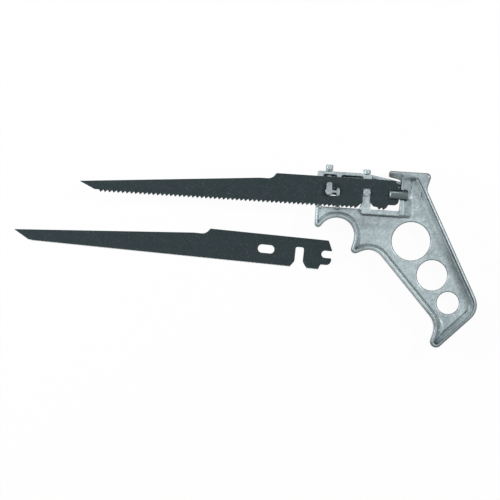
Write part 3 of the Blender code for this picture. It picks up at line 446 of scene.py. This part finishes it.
def turned_steel(name, colour, stretch):
    """Machined steel with fine rings left by the tool, and tarnish."""
    made, finish = new_finish(name)
    rings = finish.noise(RING_SIZE, detail=2.0, stretch=stretch)
    tarnish = finish.rise(finish.noise(TARNISH_SIZE, detail=3.0), *TARNISH_SPREAD)
    rubbed = tuple(min(1.0, part * RUBBED_GAIN) for part in colour)
    light = rings * RING_LIGHT + tarnish * TARNISH_LIGHT
    finish.surface({
        "Base Color": finish.blend(light, colour, rubbed),
        "Metallic": 0.9,
        "Roughness": 0.22 + 0.12 * tarnish,
        "Normal": finish.bump(rings, depth=0.012 * MM, strength=0.6),
    })
    return made


def solid_copy(node):
    """A bmesh of a node's solid with its triangles joined up."""
    shape = bmesh.new()
    shape.from_mesh(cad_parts[node].data)
    bmesh.ops.remove_doubles(shape, verts=shape.verts, dist=MERGE)
    return shape


def finish_piece(node, shape, material, body):
    """Turn a bmesh into the piece that stands for a node."""
    mesh = bpy.data.meshes.new(f"{node}_skin")
    shape.to_mesh(mesh)
    shape.free()
    piece = bpy.data.objects.new(f"{node}_skin", mesh)
    bpy.context.scene.collection.objects.link(piece)
    mesh.materials.clear()
    mesh.materials.append(material)
    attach(piece, body)
    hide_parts(node)
    return piece


def smooth_skin(piece, voxel, passes, keep, corners=()):
    """Give a casting one even skin with soft edges and notes of its relief, then thin it out.

    Corners that are cast with a wider fillet are given by place, reach and rounds of evening out.
    """
    remesh = piece.modifiers.new("skin", "REMESH")
    remesh.mode = "VOXEL"
    remesh.voxel_size = voxel
    even = piece.modifiers.new("even", "SMOOTH")
    even.factor = EVENING
    even.iterations = passes
    apply_modifiers(piece)
    for place, reach, rounds in corners:
        melt_corner(piece.data, place, reach, rounds)
    note_relief(piece.data)
    thin = piece.modifiers.new("thin", "DECIMATE")
    thin.ratio = keep
    apply_modifiers(piece)
    piece.data.shade_smooth()


def apply_modifiers(piece):
    """Make the modifiers' result the piece's own mesh."""
    graph = bpy.context.evaluated_depsgraph_get()
    result = bpy.data.meshes.new_from_object(piece.evaluated_get(graph))
    piece.modifiers.clear()
    old = piece.data
    piece.data = result
    bpy.data.meshes.remove(old)


def listed(items, name, width, kind):
    """One property of all of a mesh's points or edges, a row each."""
    values = np.empty(width * len(items), dtype=kind)
    items.foreach_get(name, values)
    return values.reshape(-1, width)


def melt_corner(mesh, centre, reach, passes):
    """Even out the points round one corner, less and less towards the reach."""
    places = listed(mesh.vertices, "co", 3, np.float64)
    pairs = listed(mesh.edges, "vertices", 2, np.int32).T
    away = np.linalg.norm(places - np.array(centre), axis=1)
    share = np.clip(FULL_MELT * (1.0 - away / reach), 0.0, 1.0)
    melted = places + share[:, None] * (evened(places, pairs, passes) - places)
    mesh.vertices.foreach_set("co", melted.ravel())
    mesh.update()


def note_relief(mesh):
    """Note each point's slope, height over the middle plane, and depth in a crease and a cove."""
    places = listed(mesh.vertices, "co", 3, np.float64)
    normals = listed(mesh.vertices, "normal", 3, np.float64)
    pairs = listed(mesh.edges, "vertices", 2, np.int32).T
    notes = {
        "steep": 1.0 - np.abs(normals[:, 2]),
        "height": np.abs(places[:, 2] / MIDDLE_PLANE - 1.0),
    }
    for name, passes, depth in RELIEF:
        under = ((evened(places, pairs, passes) - places) * normals).sum(axis=1)
        notes[name] = np.clip(under / depth, -1.0, 1.0)
    for name, values in notes.items():
        mesh.attributes.new(name, "FLOAT", "POINT").data.foreach_set("value", values)


def evened(places, pairs, passes):
    """Points moved halfway to the middle of their neighbours, again and again."""
    first, second = pairs
    count = len(places)
    around = np.bincount(first, minlength=count) + np.bincount(second, minlength=count)
    even = places.copy()
    for _ in range(passes):
        sums = [np.bincount(first, even[second, axis], count)
                + np.bincount(second, even[first, axis], count)
                for axis in range(3)]
        even = (even + np.stack(sums, axis=1) / around[:, None]) / 2
    return even


def sharp_edges(shape):
    """The edges at which a machined piece's faces meet sharply, after its flat faces are joined."""
    bmesh.ops.dissolve_limit(shape, angle_limit=math.radians(FLAT_JOINT), verts=shape.verts,
                             edges=shape.edges)
    return [edge for edge in shape.edges if edge.calc_face_angle(0.0) > math.radians(SHARP_EDGE)]


def end_edges(shape, edges):
    """Those of the edges that lie at a bar's two ends."""
    places = [vertex.co.x for vertex in shape.verts]
    start, stop = min(places) + MERGE, max(places) - MERGE
    return [edge for edge in edges
            if all(vertex.co.x < start for vertex in edge.verts)
            or all(vertex.co.x > stop for vertex in edge.verts)]


def soften_edges(shape, edges, width, segments):
    """Round edges."""
    bmesh.ops.bevel(shape, geom=edges, offset=width, offset_type="OFFSET", affect="EDGES",
                    segments=segments, profile=0.5, material=-1, clamp_overlap=True)


def brighten_ends(mesh, metal):
    """Give the faces at a bar's ends a brighter metal."""
    mesh.materials.append(metal)
    for face in mesh.polygons:
        face.material_index = 1 if abs(face.normal.x) > END_FACE else 0


def set_teeth(shape, turn, root, lean):
    """Lean a blade's tooth points out to both sides by turns, below a line along their roots."""
    ahead = Matrix.Rotation(turn, 3, "Z")
    back = ahead.transposed()
    line = min((back @ vertex.co).y for vertex in shape.verts)
    geometry = [*shape.verts, *shape.edges, *shape.faces]
    bmesh.ops.bisect_plane(shape, geom=geometry, dist=MERGE,
                           plane_co=ahead @ Vector((0.0, line + root, 0.0)),
                           plane_no=ahead @ Vector((0.0, 1.0, 0.0)))
    points = [vertex for vertex in shape.verts if (back @ vertex.co).y < line + TOOTH_POINT]
    points.sort(key=lambda vertex: (back @ vertex.co).x)
    for order, vertex in enumerate(points):
        vertex.co.z += lean if order // 2 % 2 else -lean


def shade_by_angle(piece, angle):
    """Smooth shading with crisp edges."""
    piece.data.shade_smooth()
    piece.data.set_sharp_from_angle(angle=math.radians(angle))


class KEYHOLE_OT_handle(bpy.types.Operator):
    """Dress the cast handle"""
    bl_idname = "keyhole.handle"
    bl_label = "Cast handle"

    def execute(self, context):
        look = context.scene.keyhole_casting
        metal = cast_metal("cast_metal", look)
        shape = solid_copy("handle_casting")
        piece = finish_piece("handle_casting", shape, metal, BODY_SAW)
        corners = ((COLUMN_TOP, COLUMN_TOP_REACH, COLUMN_TOP_PASSES),)
        smooth_skin(piece, look.voxel, HANDLE_PASSES, HANDLE_KEEP, corners)
        return {"FINISHED"}


class KEYHOLE_OT_hooks(bpy.types.Operator):
    """Dress the hooks and studs"""
    bl_idname = "keyhole.hooks"
    bl_label = "Hooks and studs"

    def execute(self, context):
        look = context.scene.keyhole_casting
        metal = cast_metal("hook_metal", look)
        for node in ("side_hook", "side_stud", "top_hook", "top_stud"):
            piece = finish_piece(node, solid_copy(node), metal, BODY_SAW)
            smooth_skin(piece, look.hook_voxel, HOOK_PASSES, HOOK_KEEP)
        return {"FINISHED"}


class KEYHOLE_OT_latch(bpy.types.Operator):
    """Dress the latch pin and what holds it"""
    bl_idname = "keyhole.latch"
    bl_label = "Latch"

    def execute(self, context):
        look = context.scene.keyhole_latch
        pin_metal = turned_steel("pin_metal", tuple(look.steel), RINGS_ALONG_X)
        bright_metal = turned_steel("bright_metal", tuple(look.bright), RINGS_ALONG_Z)
        pieces = (
            ("latch_pin", pin_metal, BODY_LATCH, "pin_steel"),
            ("latch_ball", bright_metal, BODY_SAW, "bright_steel"),
            ("latch_spring", bright_metal, BODY_SAW, "spring_steel"),
            ("latch_screw", bright_metal, BODY_SAW, "screw_steel"),
        )
        for node, metal, body, slot in pieces:
            shape = solid_copy(node)
            if node == "latch_pin":
                ends = end_edges(shape, sharp_edges(shape))
                soften_edges(shape, ends, look.end, END_SEGMENTS)
            if node in ("latch_pin", "latch_screw"):
                soften_edges(shape, sharp_edges(shape), look.edge, EDGE_SEGMENTS)
            piece = finish_piece(node, shape, metal, body)
            shade_by_angle(piece, LATCH_SHADING)
            if node == "latch_pin":
                brighten_ends(piece.data, bright_metal)
        return {"FINISHED"}


class KEYHOLE_OT_blades(bpy.types.Operator):
    """Dress the two blades and set their teeth"""
    bl_idname = "keyhole.blades"
    bl_label = "Blades"

    def execute(self, context):
        look = context.scene.keyhole_blade
        coarse = (0.0, look.coarse_root, look.coarse_set)
        fine = (SPARE_TURN, look.fine_root, look.fine_set)
        for node, body, slot, (turn, root, lean) in (
                ("wood_blade", BODY_SAW, "coarse_blade_steel", coarse),
                ("metal_blade", BODY_SPARE, "fine_blade_steel", fine)):
            shape = solid_copy(node)
            set_teeth(shape, turn, root, lean)
            metal = blued_steel(f"{node}_steel", look, turn)
            piece = finish_piece(node, shape, metal, body)
            shade_by_angle(piece, BLADE_SHADING)
        return {"FINISHED"}


class KEYHOLE_OT_stage(bpy.types.Operator):
    """Lay the floor, hang the lights and place the camera"""
    bl_idname = "keyhole.stage"
    bl_label = "Stage"

    def execute(self, context):
        look = context.scene.keyhole_stage
        self.floor(context, look)
        for name, place, size, power in LAMPS:
            self.lamp(context, name, place, size, getattr(look, power))
        self.surroundings(context, look)
        self.camera(context, look)
        context.scene.view_settings.view_transform = "Standard"
        return {"FINISHED"}

    def floor(self, context, look):
        """A plain pale floor that shows as white and keeps a faint shadow."""
        shape = bmesh.new()
        bmesh.ops.create_grid(shape, x_segments=1, y_segments=1, size=FLOOR_SIZE)
        bmesh.ops.translate(shape, vec=(0.0, 0.0, -FLOOR_DROP), verts=shape.verts)
        mesh = bpy.data.meshes.new("floor")
        shape.to_mesh(mesh)
        shape.free()
        floor = bpy.data.objects.new("floor", mesh)
        context.scene.collection.objects.link(floor)
        made, finish = new_finish("floor")
        shown = self.seen(finish) * FLOOR_WHITE
        diffuse = finish.node("ShaderNodeBsdfDiffuse", {}, {"Color": tuple(look.floor)})["BSDF"]
        glow = {"Color": WHITE, "Strength": 1.0}
        white = finish.node("ShaderNodeEmission", {}, glow)["Emission"]
        mixed = finish.node("ShaderNodeMixShader", {}, {0: shown, 1: diffuse, 2: white})["Shader"]
        finish.node("ShaderNodeOutputMaterial", {}, {"Surface": mixed})
        mesh.materials.append(made)

    def seen(self, finish):
        """1 for rays that show the background, seen straight, mirrored or through glass."""
        rays = finish.node("ShaderNodeLightPath")
        total = rays["Is Camera Ray"] + rays["Is Glossy Ray"] + rays["Is Transmission Ray"]
        return total.math("MINIMUM", total, 1.0)

    def lamp(self, context, name, place, size, power):
        """A square lamp that shines at the saw."""
        data = bpy.data.lights.new(name, "AREA")
        data.size = size
        data.energy = power
        lamp = bpy.data.objects.new(name, data)
        context.scene.collection.objects.link(lamp)
        lamp.location = place
        lamp.rotation_euler = (-Vector(place)).to_track_quat("-Z", "Y").to_euler()

    def surroundings(self, context, look):
        """Soft even light from all round, seen as white."""
        world = bpy.data.worlds.new("surroundings")
        world.use_nodes = True
        context.scene.world = world
        finish = Finish(world.node_tree)
        strength = look.sky + self.seen(finish) * (1.0 - look.sky)
        inputs = {"Color": WHITE, "Strength": strength}
        sky = finish.node("ShaderNodeBackground", {}, inputs)["Background"]
        finish.node("ShaderNodeOutputWorld", {}, {"Surface": sky})

    def camera(self, context, look):
        """Straight down on the saw, rolled as in the photo."""
        data = bpy.data.cameras.new("camera")
        data.sensor_width = SENSOR
        data.lens = SENSOR * (look.distance - MIDDLE_PLANE) / look.width
        camera = bpy.data.objects.new("camera", data)
        context.scene.collection.objects.link(camera)
        camera.location = (*AIM, look.distance)
        camera.rotation_euler = (0.0, 0.0, look.roll)
        context.scene.camera = camera


class KEYHOLE_PT_panel(bpy.types.Panel):
    """Lists the saw's pieces"""
    bl_idname = "KEYHOLE_PT_panel"
    bl_label = "Keyhole saw"
    bl_space_type = "VIEW_3D"
    bl_region_type = "UI"
    bl_category = "Keyhole saw"

    def draw(self, context):
        for operator in OPERATORS:
            self.layout.operator(operator.bl_idname)


GROUPS = {
    "keyhole_casting": KEYHOLE_casting_look,
    "keyhole_blade": KEYHOLE_blade_look,
    "keyhole_latch": KEYHOLE_latch_look,
    "keyhole_stage": KEYHOLE_stage_look,
}
OPERATORS = (KEYHOLE_OT_handle, KEYHOLE_OT_hooks, KEYHOLE_OT_latch, KEYHOLE_OT_blades,
             KEYHOLE_OT_stage)


def register():
    """Make the classes and their settings known."""
    for group in (*GROUPS.values(), *OPERATORS, KEYHOLE_PT_panel):
        bpy.utils.register_class(group)
    for name, group in GROUPS.items():
        setattr(bpy.types.Scene, name, PointerProperty(type=group))


def unregister():
    """Take the classes and their settings away."""
    for name in GROUPS:
        delattr(bpy.types.Scene, name)
    for group in (KEYHOLE_PT_panel, *reversed(OPERATORS), *GROUPS.values()):
        bpy.utils.unregister_class(group)


def main():
    """Dress every piece and set the stage."""
    register()
    bpy.ops.keyhole.handle()
    bpy.ops.keyhole.hooks()
    bpy.ops.keyhole.latch()
    bpy.ops.keyhole.blades()
    bpy.ops.keyhole.stage()


if __name__ == "__main__":
    main()
